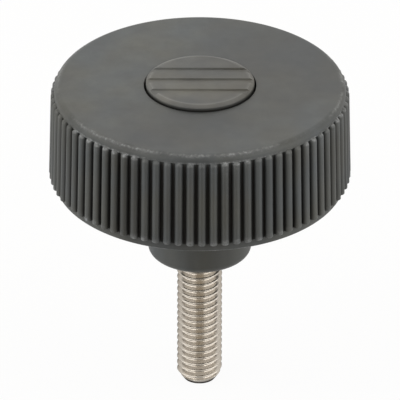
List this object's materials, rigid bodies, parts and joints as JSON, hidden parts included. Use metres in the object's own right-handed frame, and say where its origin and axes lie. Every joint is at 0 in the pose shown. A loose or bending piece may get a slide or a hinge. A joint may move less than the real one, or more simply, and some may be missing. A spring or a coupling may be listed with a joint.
{
  "type": "knurled clamping knob with threaded stud",
  "caption": "Round ribbed plastic knob with a hub, a snap-in grooved cap in the middle of its flat top, and a steel threaded stud below.",
  "frame": {"origin": "centre of the hub's seating face, where the threaded stud leaves it", "axes": "+Z along the knob's axis towards the cap; the stud points along -Z; the cap's grooves run along X"},
  "size_m": [0.053, 0.053, 0.06],
  "materials": {
    "grip_plastic": "dark grey glass-filled plastic, matt, lightly mottled",
    "cap_plastic": "dark grey plastic, matt, a little lighter than the grip",
    "stainless_steel": "rolled thread, bright flanks, warm grey"
  },
  "bodies": {
    "root": {"knob_body": "grip_plastic", "cover_cap": "cap_plastic", "threaded_stud": "stainless_steel"}
  },
  "joints": []
}
